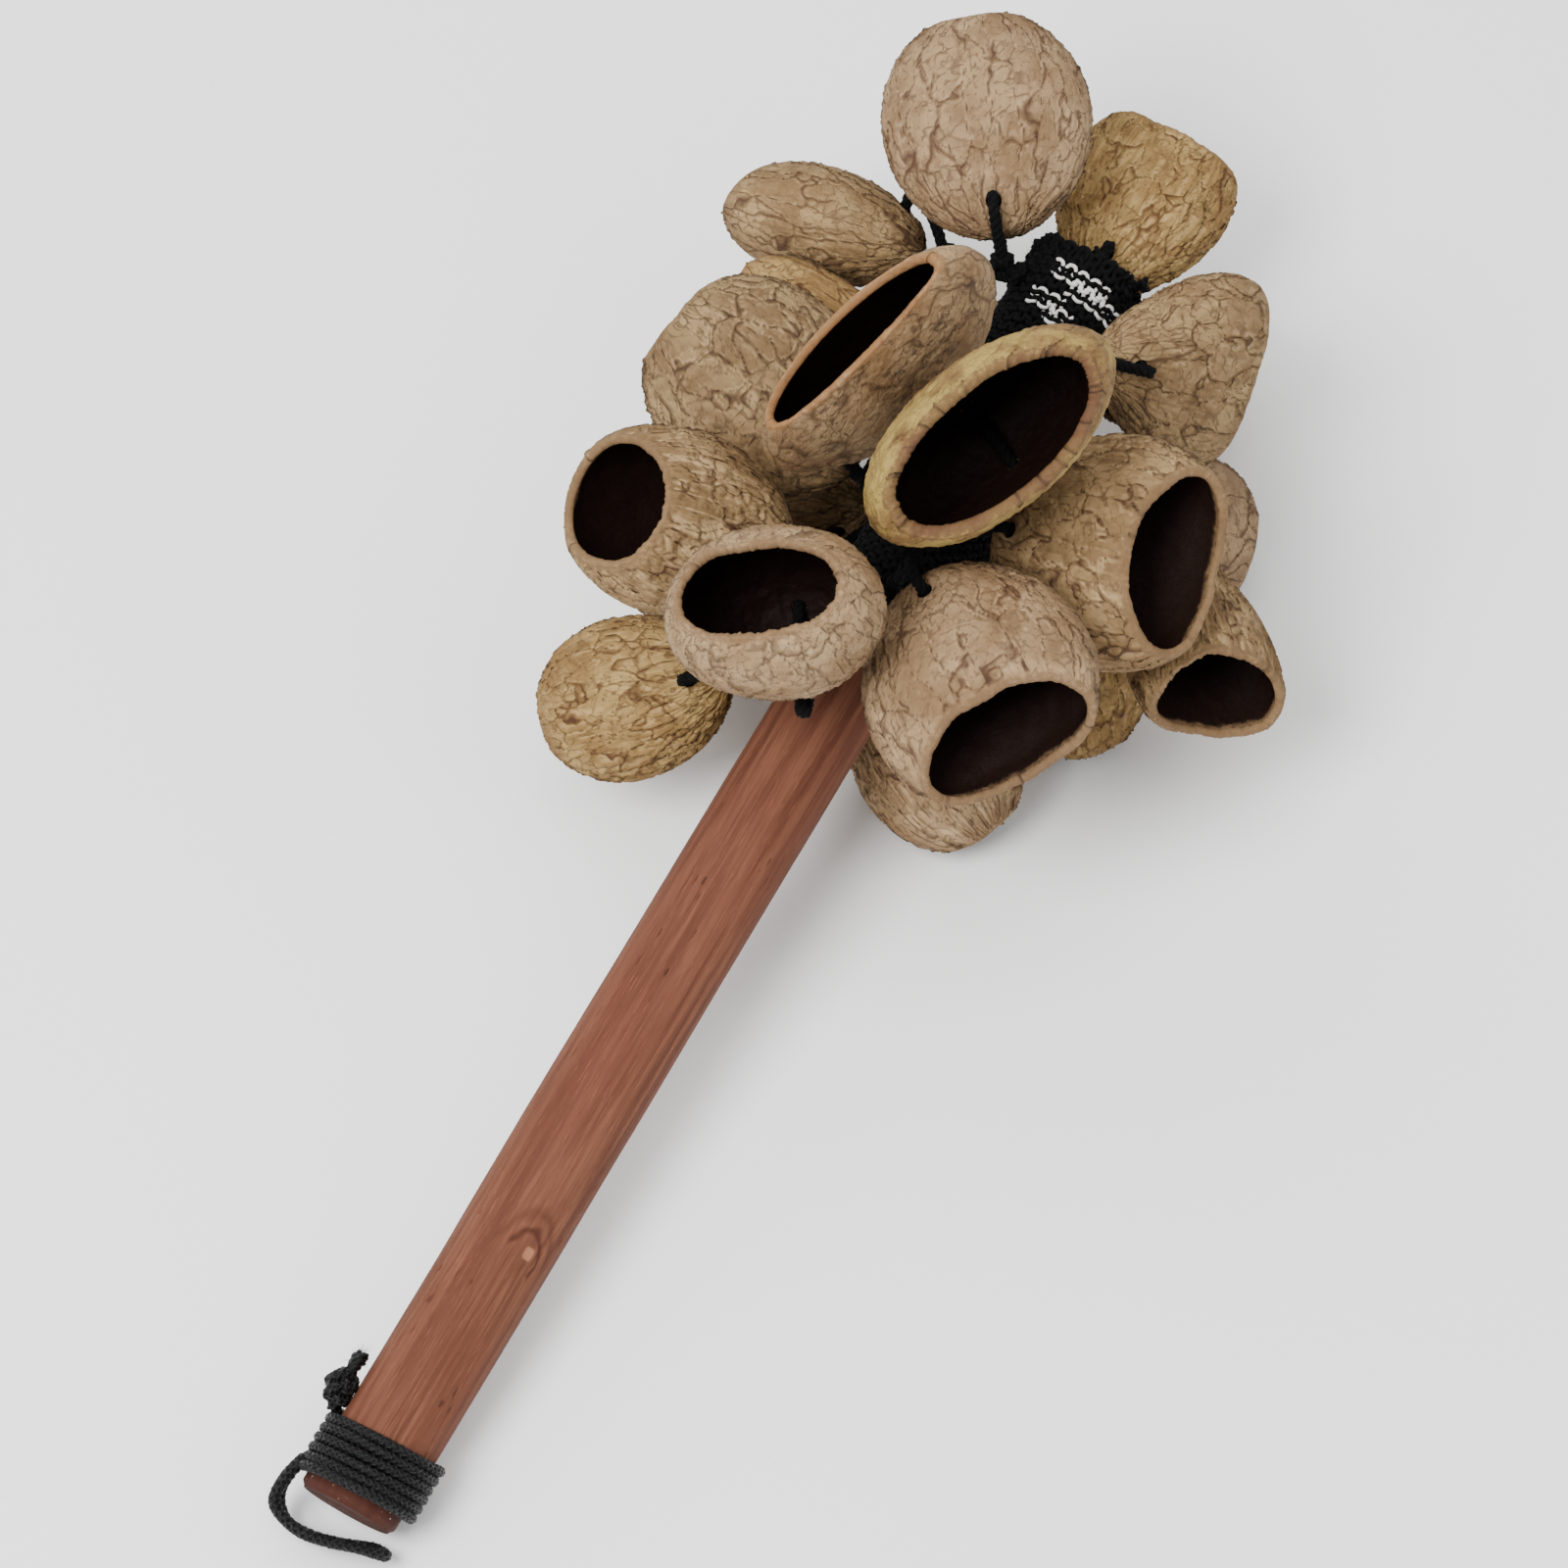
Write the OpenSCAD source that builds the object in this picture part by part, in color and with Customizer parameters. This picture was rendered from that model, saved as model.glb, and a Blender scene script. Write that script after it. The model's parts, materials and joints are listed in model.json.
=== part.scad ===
// Hand shaker: a wooden stick whose head carries a bunch of dried nut shells.
// Every shell is drilled through near its closed end and hangs on a loop of cord
// that is knotted to a knitted sleeve on the stick.  The shaker lies on its side:
// the stick points along +X and leans up towards the bunch.

/* [Handle] */
// Length of the wooden stick
stick_length = 285; // [270:5:300]
// Radius of the wooden stick
stick_radius = 10; // [9:0.5:11]
// Width of the bevel at both ends of the stick
stick_bevel = 1; // [0.5:0.5:2]
// Lean of the stick above the surface it lies on, in degrees
stick_lean = 9.5; // [8:0.5:12]
// Height of the stick's axis at its lower end
end_height = 12; // [11.5:0.5:14]

/* [Sleeve] */
// Where the knitted sleeve starts, measured along the stick
sleeve_start = 190; // [185:1:195]
// Wall of the knitted sleeve
sleeve_wall = 2.4; // [2:0.2:3]

/* [Shells] */
// Wall of a nut shell
shell_wall = 1.8; // [1.4:0.1:2.2]
// Distance of the drilled tie holes from a shell's closed end
hole_depth = 6; // [5:0.5:7]
// Radius of a tie hole
hole_radius = 1.6; // [1.4:0.1:1.8]

/* [Cords] */
// Radius of the cord that ties the shells
tie_radius = 1.1; // [0.8:0.1:1.2]
// Radius of the waxed cord of the lashing and its loop
wax_radius = 1.3; // [1.1:0.1:1.4]
// Turns of the lashing
lashing_turns = 6; // [4:1:7]
// Tilt of the lashing's turns on the stick, in degrees
lashing_tilt = 8; // [0:1:10]

/* [Hidden] */
// Kinds of shell: name, length, half width, half thickness, taper towards the closed
// end, angle from the closed end at which the mouth is cut, tilt of the mouth, and how
// far the mouth dips at its two flat sides
KINDS = [
    ["broad", 44, 21, 12, 0.05, 145, -15, 4],
    ["rim", 42, 28, 15, 0.10, 130, 10, 0],
    ["slot", 42, 28, 8, 0.15, 140, 5, -5],
    ["bowl", 38, 21, 16, 0.10, 143, 10, -8],
    ["crescent", 42, 23, 12, 0.05, 130, -15, 4],
    ["jug", 44, 18, 14, 0.05, 138, -15, 4],
    ["pod", 40, 16, 12, 0.10, 150, -15, 4],
    ["fan", 38, 19, 10, 0.35, 125, 5, 4],
    ["scoop", 38, 17, 10, 0.15, 120, -10, 4],
];
// The bunch, one row a shell.  The closed end sits at [around, out, up]: degrees round
// the stick from its upper side, millimetres from its axis, millimetres along it.  The
// shell points to [heading, lean]: degrees round the stick, degrees towards its head.
// The twist turns the shell about its own length.
BUNCH = [
    ["broad", [-50, 20, 280], [-80, 55], 170],
    ["scoop", [-170, 15, 290], [-170, 75], -90],
    ["fan", [40, 25, 265], [150, 30], -170],
    ["pod", [-105, 35, 280], [-95, -10], 70],
    ["scoop", [-75, 20, 250], [-115, 10], 90],
    ["broad", [-60, 20, 225], [-75, 10], 165],
    ["slot", [-15, 25, 240], [-15, -15], 155],
    ["rim", [15, 35, 235], [15, -20], 160],
    ["jug", [-45, 25, 200], [-45, -20], -10],
    ["bowl", [0, 30, 180], [-10, -5], 120],
    ["pod", [-80, 20, 180], [-120, -30], 140],
    ["crescent", [45, 20, 225], [75, 10], -160],
    ["scoop", [100, 40, 245], [80, -45], 135],
    ["pod", [125, 30, 250], [150, 25], 180],
    ["crescent", [20, 30, 205], [85, -35], -170],
    ["pod", [-170, 20, 200], [115, -20], 0],
    ["pod", [120, 25, 235], [150, -30], 0],
    ["pod", [-135, 25, 230], [-120, -5], 90],
    ["pod", [-135, 20, 200], [-105, 0], 70],
    ["pod", [-160, 20, 270], [-135, 10], 70],
    ["pod", [155, 25, 275], [160, 50], 45],
    ["pod", [-170, 20, 220], [170, 45], 90],
];
// Where a tie meets the sleeve, [around, up], if not straight below its knot
ANCHORS = [
    [7, [0, 250]],
    [9, [-25, 195]],
];
// The loop of waxed cord at the lower end, from the lashing round the end and back:
// upward, sideways and along the stick from its lower end
LOOP_ROUTE = [
    [4, -11, 5],
    [3, -12.5, 0],
    [1.5, -12, -5],
    [0, -6, -7],
    [-1, 0, -6],
    [-1, 5, -4.5],
    [-5.5, 9.5, -2.5],
    [-9.5, 6, -1.5],
    [-10, 0, -3.5],
    [-9.5, -6, -5],
    [-7.5, -11, -5],
    [-3.5, -13.5, -2],
    [-0.5, -13, 2],
    [0, -12, 5],
];
// Steps of a swept cord between two route points
LOOP_STEPS = 3;
TIE_STEPS = 2;
CORD_SIDES = 8;
// Facets of a shell round its mouth, and from its closed end to its mouth
SHELL_SIDES = 16;
SHELL_RINGS = 7;
// Distance of the middle of the whole shaker from the stick's lower end
MIDDLE = 164;
// Round facets of the stick, of the cords' cross-sections and of the drilled holes
ROUND_SIDES = 96;
SMALL_SIDES = 32;

// Slant of the stick's lower end, in degrees, and the block that cuts it
END_SLANT = 10;
END_BLOCK = 60;
// The lashing: radius of its flattened cord, distance between turns, and its first turn
LASHING_CORD = 1.2;
LASHING_PITCH = 2.1;
LASHING_START = 5;
// The web that joins the lashing's turns: how far it starts inside the stick, its width
WEB_START = 0.8;
WEB_WIDTH = 2;
// The lashing's knot: degrees round the stick, and beads as [out, along, radius]
KNOT_AROUND = -70;
KNOT_BEADS = [
    [12.5, 18.5, 2.2],
    [12.8, 21.5, 2.6],
    [12.5, 24.5, 1.8],
];
// Bevel of the sleeve's closed top
SLEEVE_BEVEL = 2;
// How much thinner a shell is towards its closed end
THICK_TAPER = 0.08;
// A tie's leg: points [beside the shell's middle line, along it from the closed end]
LEG_START = [1.2, -3.6];
LEG_SHOULDER = [4.2, -1.8];
// Depth of a stem's foot in the sleeve's wall, and its nearest distance to both ends
FOOT_DEPTH = 0.7;
FOOT_LOW = 3;
FOOT_HIGH = 4;
// Share of a knot's distance from the axis at which a foot stands on the closed top
FOOT_SHARE = 0.6;
FOOT_SUNK = 1.5;

sleeve_radius = stick_radius + sleeve_wall;
sleeve_end = stick_length + 3;
// Room between a shell and the cord that runs outside it
leg_gap = 1.6;
// Knot of a tie: its radius, and its distance from the shell's closed end
knot_radius = 2.4;
knot_drop = 4.5;
stem_radius = 1.6;

function two(n) = n < 10 ? str("0", n) : str(n);
SHELL_NAMES = [for (i = [0:len(BUNCH) - 1]) str("nut_shell_", two(i + 1))];
TIE_NAMES = [for (i = [0:len(BUNCH) - 1]) str("shell_tie_", two(i + 1))];

// ---- placing -------------------------------------------------------------------

// Lays the shaker down: local X is its upper side, local Y its near side and local Z
// runs along the stick from its lower end
module lay() {
    translate([-MIDDLE, 0, end_height])
        rotate([0, 90 - stick_lean, 0])
            rotate([0, 0, 180])
                children();
}

function kind(i) = KINDS[search([BUNCH[i][0]], KINDS)[0]];
function polar(around, out, up) = [out * cos(around), out * sin(around), up];
function shell_place(i) = polar(BUNCH[i][1][0], BUNCH[i][1][1], BUNCH[i][1][2]);
function shell_points_to(i) =
    let (heading = BUNCH[i][2][0], lean = BUNCH[i][2][1])
    [cos(heading) * cos(lean), sin(heading) * cos(lean), sin(lean)];

module at_shell(i) {
    translate(shell_place(i))
        rotate([0, 0, BUNCH[i][2][0]])
            rotate([0, 90 - BUNCH[i][2][1], 0])
                rotate([0, 0, BUNCH[i][3]])
                    children();
}

// ---- nut shells ----------------------------------------------------------------

// Radius of the round end that a shell's length and mouth angle call for
function shell_round(k) = k[1] / (1 - cos(k[5]));
function mouth_angle(k, p) = k[5] + k[6] * sin(p) + k[7] * cos(2 * p);
function shell_point(k, angle, p, inset) =
    let (c = shell_round(k))
    [
        (k[2] - inset) * sin(angle) * (1 - k[4] * cos(angle)) * cos(p),
        (k[3] - inset) * sin(angle) * (1 - THICK_TAPER * cos(angle)) * sin(p),
        c - (c - inset) * cos(angle),
    ];

function skin_points(k, inset) = concat(
    [[0, 0, inset]],
    [
        for (ring = [1:SHELL_RINGS], side = [0:SHELL_SIDES - 1])
            let (p = side * 360 / SHELL_SIDES)
            shell_point(k, mouth_angle(k, p) * ring / SHELL_RINGS, p, inset)
    ]
);
function skin_tip_faces(base) = [
    for (s = [0:SHELL_SIDES - 1])
        [base, base + 1 + s, base + 1 + (s + 1) % SHELL_SIDES]
];
function skin_ring_faces(base) = [
    for (ring = [0:SHELL_RINGS - 2], s = [0:SHELL_SIDES - 1], half = [0, 1])
        let (
            a = base + 1 + ring * SHELL_SIDES,
            b = a + SHELL_SIDES,
            next = (s + 1) % SHELL_SIDES
        )
        half == 0 ? [a + s, b + next, a + next] : [a + s, b + s, b + next]
];
function turned(faces) = [for (f = faces) [f[0], f[2], f[1]]];
function lip_faces(inner) = [
    for (s = [0:SHELL_SIDES - 1], half = [0, 1])
        let (
            a = 1 + (SHELL_RINGS - 1) * SHELL_SIDES,
            b = inner + a,
            next = (s + 1) % SHELL_SIDES
        )
        half == 0 ? [a + s, b + next, a + next] : [a + s, b + s, b + next]
];

// One hollow shell, closed end at the origin, mouth up, with its two tie holes
module hollow_shell(k) {
    inner = 1 + SHELL_RINGS * SHELL_SIDES;
    difference() {
        polyhedron(
            points = concat(skin_points(k, 0), skin_points(k, shell_wall)),
            faces = concat(
                skin_tip_faces(0),
                skin_ring_faces(0),
                turned(skin_tip_faces(inner)),
                turned(skin_ring_faces(inner)),
                lip_faces(inner)
            ),
            convexity = 6
        );
        translate([0, 0, hole_depth])
            rotate([90, 0, 0])
                cylinder(r = hole_radius, h = 3 * k[3], center = true, $fn = SMALL_SIDES);
    }
}

module nut_shell(i) {
    color("tan")
        lay()
            at_shell(i)
                hollow_shell(kind(i));
}

// ---- swept cord ----------------------------------------------------------------

function unit(v) = v / norm(v);
function ahead(path, i) =
    unit(path[min(i + 1, len(path) - 1)] - path[max(i - 1, 0)]);
// A side direction for every ring, each turned as little as possible from the last
function sides(path, i = 0, last = undef, found = []) =
    i == len(path) ? found :
    let (
        t = ahead(path, i),
        seed = last == undef ? (abs(t[2]) < 0.9 ? [0, 0, 1] : [1, 0, 0]) : last,
        side = unit(seed - (seed * t) * t)
    )
    sides(path, i + 1, side, concat(found, [side]));
function curve_point(a, b, c, d, t) = 0.5 * (
    2 * b + (c - a) * t + (2 * a - 5 * b + 4 * c - d) * t * t
    + (3 * b - a - 3 * c + d) * t * t * t
);
function smooth(route, steps) =
    let (last = len(route) - 1)
    concat(
        [
            for (i = [0:last - 1], s = [0:steps - 1])
                curve_point(
                    route[max(i - 1, 0)], route[i], route[i + 1],
                    route[min(i + 2, last)], s / steps
                )
        ],
        [route[last]]
    );

module cord(route, radius, steps) {
    path = smooth(route, steps);
    across = sides(path);
    last = len(path) - 1;
    n = CORD_SIDES;
    polyhedron(
        points = [
            for (i = [0:last], s = [0:n - 1])
                let (a = s * 360 / n, t = ahead(path, i), u = across[i], v = cross(t, u))
                path[i] + radius * (cos(a) * u + sin(a) * v)
        ],
        faces = concat(
            [[for (s = [0:n - 1]) s]],
            [[for (s = [0:n - 1]) last * n + n - 1 - s]],
            [
                for (i = [0:last - 1], s = [0:n - 1], half = [0, 1])
                    let (a = i * n, b = a + n, next = (s + 1) % n)
                    half == 0 ? [a + s, b + next, a + next] : [a + s, b + s, b + next]
            ]
        ),
        convexity = 6
    );
}

// ---- shell ties ----------------------------------------------------------------

// Half thickness of a shell where its tie holes are
function hole_side(k) =
    let (c = shell_round(k), ca = 1 - hole_depth / c, sa = sqrt(1 - ca * ca))
    k[3] * sa * (1 - THICK_TAPER * ca);
function tie_leg(y) = [
    LEG_START,
    [min(LEG_SHOULDER[0], 0.6 * y), LEG_SHOULDER[1]],
    [y - 0.4, 2.2],
    [y, 4.6],
    [y - 0.7, hole_depth],
];
function tie_route(k) =
    let (leg = tie_leg(hole_side(k) + leg_gap), n = len(leg) - 1)
    concat(
        [for (p = leg) [0, p[0], p[1]]],
        [for (i = [n:-1:0]) [0, -leg[i][0], leg[i][1]]]
    );

function knot_place(i) = shell_place(i) - knot_drop * shell_points_to(i);
function own_anchor(i) = search([i], ANCHORS)[0];
// The stem's lower end, inside the sleeve's wall or its closed top
function anchor_place(i) =
    let (
        k = knot_place(i),
        own = own_anchor(i),
        r = sleeve_radius - FOOT_DEPTH
    )
    k[2] > sleeve_end - SLEEVE_BEVEL ?
    [k[0] * FOOT_SHARE, k[1] * FOOT_SHARE, sleeve_end - FOOT_SUNK] :
    is_num(own) ? polar(ANCHORS[own][1][0], r, ANCHORS[own][1][1]) :
    polar(
        atan2(k[1], k[0]), r,
        min(max(k[2], sleeve_start + FOOT_LOW), sleeve_end - FOOT_HIGH)
    );

module stem(from, to) {
    v = to - from;
    translate(from)
        rotate([0, acos(v[2] / norm(v)), atan2(v[1], v[0])])
            cylinder(r = stem_radius, h = norm(v), $fn = CORD_SIDES);
}

module shell_tie(i) {
    color("black")
        lay() {
            at_shell(i) {
                cord(tie_route(kind(i)), tie_radius, TIE_STEPS);
                translate([0, 0, -knot_drop])
                    sphere(r = knot_radius, $fn = CORD_SIDES + 2);
            }
            stem(anchor_place(i), knot_place(i));
        }
}

// ---- handle --------------------------------------------------------------------

module stick_body(radius, length, bevel) {
    rotate_extrude($fn = ROUND_SIDES)
        polygon([
            [0, 0],
            [radius - bevel, 0],
            [radius, bevel],
            [radius, length - bevel],
            [radius - bevel, length],
            [0, length],
        ]);
}

module handle_stick() {
    color("sienna")
        lay()
            difference() {
                stick_body(stick_radius, stick_length, stick_bevel);
                // the lower end is cut a little aslant
                translate([0, 0, -stick_bevel])
                    rotate([0, END_SLANT, 0])
                        translate([0, 0, -END_BLOCK / 2])
                            cube(END_BLOCK, center = true);
            }
}

module knit_sleeve() {
    color("dimgray")
        lay()
            rotate_extrude($fn = ROUND_SIDES)
                polygon([
                    [stick_radius, sleeve_start],
                    [sleeve_radius, sleeve_start],
                    [sleeve_radius, sleeve_end - SLEEVE_BEVEL],
                    [sleeve_radius - SLEEVE_BEVEL, sleeve_end],
                    [0, sleeve_end],
                    [0, stick_length],
                    [stick_radius - stick_bevel, stick_length],
                    [stick_radius, stick_length - stick_bevel],
                ]);
}

module handle_lashing() {
    middle = LASHING_START + LASHING_PITCH * (lashing_turns - 1) / 2;
    color("black")
        lay()
            difference() {
                translate([0, 0, middle])
                    rotate([0, lashing_tilt, 0])
                        rotate_extrude($fn = ROUND_SIDES) {
                            for (turn = [0:lashing_turns - 1])
                                translate([
                                    stick_radius + LASHING_CORD,
                                    (turn - (lashing_turns - 1) / 2) * LASHING_PITCH
                                ])
                                    circle(r = LASHING_CORD, $fn = SMALL_SIDES);
                            translate([
                                stick_radius - WEB_START,
                                -LASHING_PITCH * (lashing_turns - 1) / 2
                            ])
                                square([WEB_WIDTH, LASHING_PITCH * (lashing_turns - 1)]);
                        }
                cylinder(r = stick_radius, h = stick_length, center = true, $fn = ROUND_SIDES);
            }
}

module lashing_knot() {
    color("black")
        lay()
            for (bead = KNOT_BEADS)
                translate(polar(KNOT_AROUND, bead[0], bead[1]))
                    sphere(r = bead[2], $fn = SMALL_SIDES);
}

module hanging_loop() {
    color("black")
        lay()
            cord(LOOP_ROUTE, wax_radius, LOOP_STEPS);
}

handle_stick();
knit_sleeve();
handle_lashing();
lashing_knot();
hanging_loop();
for (i = [0:len(BUNCH) - 1]) {
    nut_shell(i);
    shell_tie(i);
}
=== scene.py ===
"""A nut shell hand shaker: a stick, a knitted sleeve and 22 nut shells on cord ties."""

import json
import math
from collections import namedtuple

import bpy
import numpy as np
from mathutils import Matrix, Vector


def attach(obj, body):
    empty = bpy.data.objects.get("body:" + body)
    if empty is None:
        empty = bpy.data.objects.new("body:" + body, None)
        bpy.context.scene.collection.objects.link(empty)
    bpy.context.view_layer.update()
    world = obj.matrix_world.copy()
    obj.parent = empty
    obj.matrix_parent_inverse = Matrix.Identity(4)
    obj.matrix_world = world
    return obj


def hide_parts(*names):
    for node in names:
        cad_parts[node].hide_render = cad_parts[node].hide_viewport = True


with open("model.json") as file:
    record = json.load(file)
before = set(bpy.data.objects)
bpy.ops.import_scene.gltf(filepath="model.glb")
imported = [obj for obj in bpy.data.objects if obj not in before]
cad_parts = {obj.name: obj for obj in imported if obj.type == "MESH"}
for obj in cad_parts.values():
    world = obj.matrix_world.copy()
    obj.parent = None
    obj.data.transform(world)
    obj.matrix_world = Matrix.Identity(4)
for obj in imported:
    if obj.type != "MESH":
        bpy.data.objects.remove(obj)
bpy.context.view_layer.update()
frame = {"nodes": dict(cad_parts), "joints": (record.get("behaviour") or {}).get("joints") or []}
MM = 0.001
TURN = 2 * math.pi

# ---- the design's own sizes, in millimetres and degrees ----

LEAN = math.radians(9.5)
END = np.array([-164.0, 0.0, 12.0])
STICK_LENGTH, STICK_RADIUS = 285.0, 10.0
SLEEVE_START, SLEEVE_END, SLEEVE_RADIUS = 190.0, 288.0, 12.4
HOLE_DEPTH, HOLE_RADIUS = 6.0, 1.6
# How far a shell's two skins lie within its CAD surface. PUSH limits the outer one's relief
OUTER_INSET, INNER_INSET = 0.75, 2.05
PUSH = (-0.9, 0.42)
LIP_RINGS, LIP_FULLNESS = 9, 0.85
TIE_RADIUS, WAX_RADIUS = 1.1, 1.3
KNOT_DROP = 4.5
LEG_GAP = 1.6
FOOT_DEPTH = 0.7

# mouth: degrees from the closed end to the rim. tilt: how many more on one flat side and
# fewer on the other. dip: how many more on the two wide sides and fewer on the flat ones
Kind = namedtuple("Kind", "length half_width half_thick taper mouth tilt dip")
KINDS = {
    "broad": Kind(44, 21, 12, 0.05, 145, -15, 4),
    "rim": Kind(42, 28, 15, 0.10, 130, 10, 0),
    "slot": Kind(42, 28, 8, 0.15, 140, 5, -5),
    "bowl": Kind(38, 21, 16, 0.10, 143, 10, -8),
    "crescent": Kind(42, 23, 12, 0.05, 130, -15, 4),
    "jug": Kind(44, 18, 14, 0.05, 138, -15, 4),
    "pod": Kind(40, 16, 12, 0.10, 150, -15, 4),
    "fan": Kind(38, 19, 10, 0.35, 125, 5, 4),
    "scoop": Kind(38, 17, 10, 0.15, 120, -10, 4),
}
# Skin: size of the big cells across and along, of the small ones, depth of both
# networks, waviness, share of long wrinkles
SKINS = {
    "leafy": (5.4, 17.0, 2.0, 3.4, 0.40, 0.26, 3.0, 0.30),
    "curly": (6.0, 10.0, 2.2, 3.0, 0.50, 0.34, 4.2, 0.50),
    "long": (3.8, 30.0, 1.8, 8.0, 0.38, 0.22, 3.0, 1.40),
    "net": (6.0, 12.0, 2.2, 4.2, 0.50, 0.28, 3.6, 0.60),
    "dense": (4.2, 12.0, 1.9, 4.0, 0.46, 0.30, 3.2, 0.90),
    "fibre": (14.0, 14.0, 1.4, 2.0, 0.10, 0.16, 2.0, 0.25),
    "mottled": (12.0, 16.0, 2.0, 2.4, 0.14, 0.22, 2.4, 0.15),
}
# kind, skin, material slot, extra thickness of the lip, raggedness of the mouth
SHELLS = [
    ("broad", "leafy", "shell_pink", 0.0, 0.5),
    ("scoop", "dense", "shell_gold", 0.0, 0.6),
    ("fan", "net", "shell_tan", 0.0, 0.5),
    ("pod", "leafy", "shell_tan", 0.2, 0.5),
    ("scoop", "leafy", "shell_gold", 0.0, 0.5),
    ("broad", "curly", "shell_brown", 0.2, 0.6),
    ("slot", "mottled", "shell_pale", 0.4, 0.3),
    ("rim", "fibre", "shell_gold", 0.9, 0.9),
    ("jug", "long", "shell_tan", 0.2, 0.6),
    ("bowl", "leafy", "shell_pale", 0.3, 1.1),
    ("pod", "dense", "shell_gold", 0.2, 0.6),
    ("crescent", "net", "shell_tan", 0.2, 0.4),
    ("scoop", "long", "shell_tan", 0.2, 0.7),
    ("pod", "leafy", "shell_pink", 0.2, 0.5),
    ("crescent", "leafy", "shell_pink", 0.4, 0.4),
    ("pod", "long", "shell_pale", 0.2, 0.5),
    ("pod", "dense", "shell_gold", 0.2, 0.5),
    ("pod", "net", "shell_brown", 0.2, 0.5),
    ("pod", "leafy", "shell_tan", 0.2, 0.5),
    ("pod", "curly", "shell_brown", 0.2, 0.5),
    ("pod", "dense", "shell_tan", 0.2, 0.5),
    ("pod", "leafy", "shell_pale", 0.2, 0.5),
]
# Ties that meet the sleeve elsewhere than below their knot: [degrees round, along]
ANCHORS = {8: (0.0, 250.0), 10: (-25.0, 195.0)}
# The loop of waxed cord at the stick's lower end: upward, sideways, along
LOOP_ROUTE = [
    (4, -11, 5), (3, -12.5, 0), (1.5, -12, -5), (0, -6, -7), (-1, 0, -6),
    (-1, 5, -4.5), (-5.5, 9.5, -2.5), (-9.5, 6, -1.5), (-10, 0, -3.5),
    (-9.5, -6, -5), (-7.5, -11, -5), (-3.5, -13.5, -2), (-0.5, -13, 2), (0, -12, 5),
]
LASHING_TURNS, LASHING_PITCH, LASHING_START, LASHING_TILT = 6, 2.1, 5.0, 8.0
LASHING_CORD = 1.2
BRAID_LAY = 6.0
KNOT_AROUND = -70.0

# ---- places ----

ALONG = np.array([math.cos(LEAN), 0, math.sin(LEAN)])
UPPER = np.array([-math.sin(LEAN), 0, math.cos(LEAN)])
NEAR = np.array([0.0, -1.0, 0.0])


def on_stick(upper, near, along):
    """Points in the row frame, in mm, from places in the stick's own frame."""
    u, n, s = (np.asarray(x, float)[..., None] for x in (upper, near, along))
    return END + u * UPPER + n * NEAR + s * ALONG


def polar(around, out, along):
    a = np.radians(around)
    return on_stick(out * np.cos(a), out * np.sin(a), along)


def in_stick(point):
    """A row-frame point's place in the stick's own frame."""
    v = np.asarray(point, float) - END
    return np.array([v @ UPPER, v @ NEAR, v @ ALONG])


# ---- noise ----


def scramble(ix, iy, iz, seed):
    """A 32-bit number for every cell of a lattice."""
    h = ix * 374761393 + iy * 668265263 + iz * 1440662683 + seed * 362437
    h = (h ^ (h >> 13)) & 0xFFFFFFFF
    h = (h * 1274126177) & 0xFFFFFFFF
    h = (h ^ (h >> 15)) & 0xFFFFFFFF
    h = (h * 2246822519) & 0xFFFFFFFF
    return h ^ (h >> 16)


def noise(p, seed=0):
    """Smooth noise from -1 to 1 at the points p."""
    cell = np.floor(p).astype(np.int64)
    f = p - cell
    w = f * f * f * (f * (f * 6 - 15) + 10)
    total = np.zeros(len(p))
    for dx in (0, 1):
        wx = w[:, 0] if dx else 1 - w[:, 0]
        for dy in (0, 1):
            wy = w[:, 1] if dy else 1 - w[:, 1]
            for dz in (0, 1):
                wz = w[:, 2] if dz else 1 - w[:, 2]
                h = scramble(cell[:, 0] + dx, cell[:, 1] + dy, cell[:, 2] + dz, seed)
                total += wx * wy * wz * (h / 2147483648.0 - 1)
    return total


def rough(p, seed=0, octaves=3):
    total, size, share = np.zeros(len(p)), 1.0, 1.0
    for o in range(octaves):
        total += share * noise(p * size, seed + 17 * o)
        size, share = size * 2.1, share * 0.5
    return total


def cells(p, seed=0):
    """Distance from the border between two cells, 0 on the border."""
    base = np.floor(p).astype(np.int64)
    first, second = np.full((2, len(p)), 9.0)
    for dx in (-1, 0, 1):
        for dy in (-1, 0, 1):
            for dz in (-1, 0, 1):
                ix, iy, iz = base[:, 0] + dx, base[:, 1] + dy, base[:, 2] + dz
                h = scramble(ix, iy, iz, seed)
                d = (
                    (ix + (h & 1023) / 1023.0 - p[:, 0]) ** 2
                    + (iy + ((h >> 10) & 1023) / 1023.0 - p[:, 1]) ** 2
                    + (iz + ((h >> 20) & 1023) / 1023.0 - p[:, 2]) ** 2
                )
                second = np.minimum(second, np.maximum(first, d))
                first = np.minimum(first, d)
    return np.sqrt(second) - np.sqrt(first)


def step(low, high, x):
    t = np.clip((x - low) / (high - low), 0, 1)
    return t * t * (3 - 2 * t)


# ---- meshes ----


def mesh_object(name, points, faces, material, floats, vectors):
    """A smooth mesh from points in mm in the row frame, with point attributes."""
    mesh = bpy.data.meshes.new(name)
    mesh.from_pydata((np.asarray(points) * MM).tolist(), [], faces)
    mesh.polygons.foreach_set("use_smooth", [True] * len(mesh.polygons))
    for key, values in floats.items():
        mesh.attributes.new(key, "FLOAT", "POINT").data.foreach_set(
            "value", np.asarray(values, np.float32)
        )
    for key, values in vectors.items():
        mesh.attributes.new(key, "FLOAT_VECTOR", "POINT").data.foreach_set(
            "vector", np.asarray(values, np.float32).ravel()
        )
    mesh.materials.append(material)
    mesh.update()
    made = bpy.data.objects.new(name, mesh)
    bpy.context.scene.collection.objects.link(made)
    return made


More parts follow.
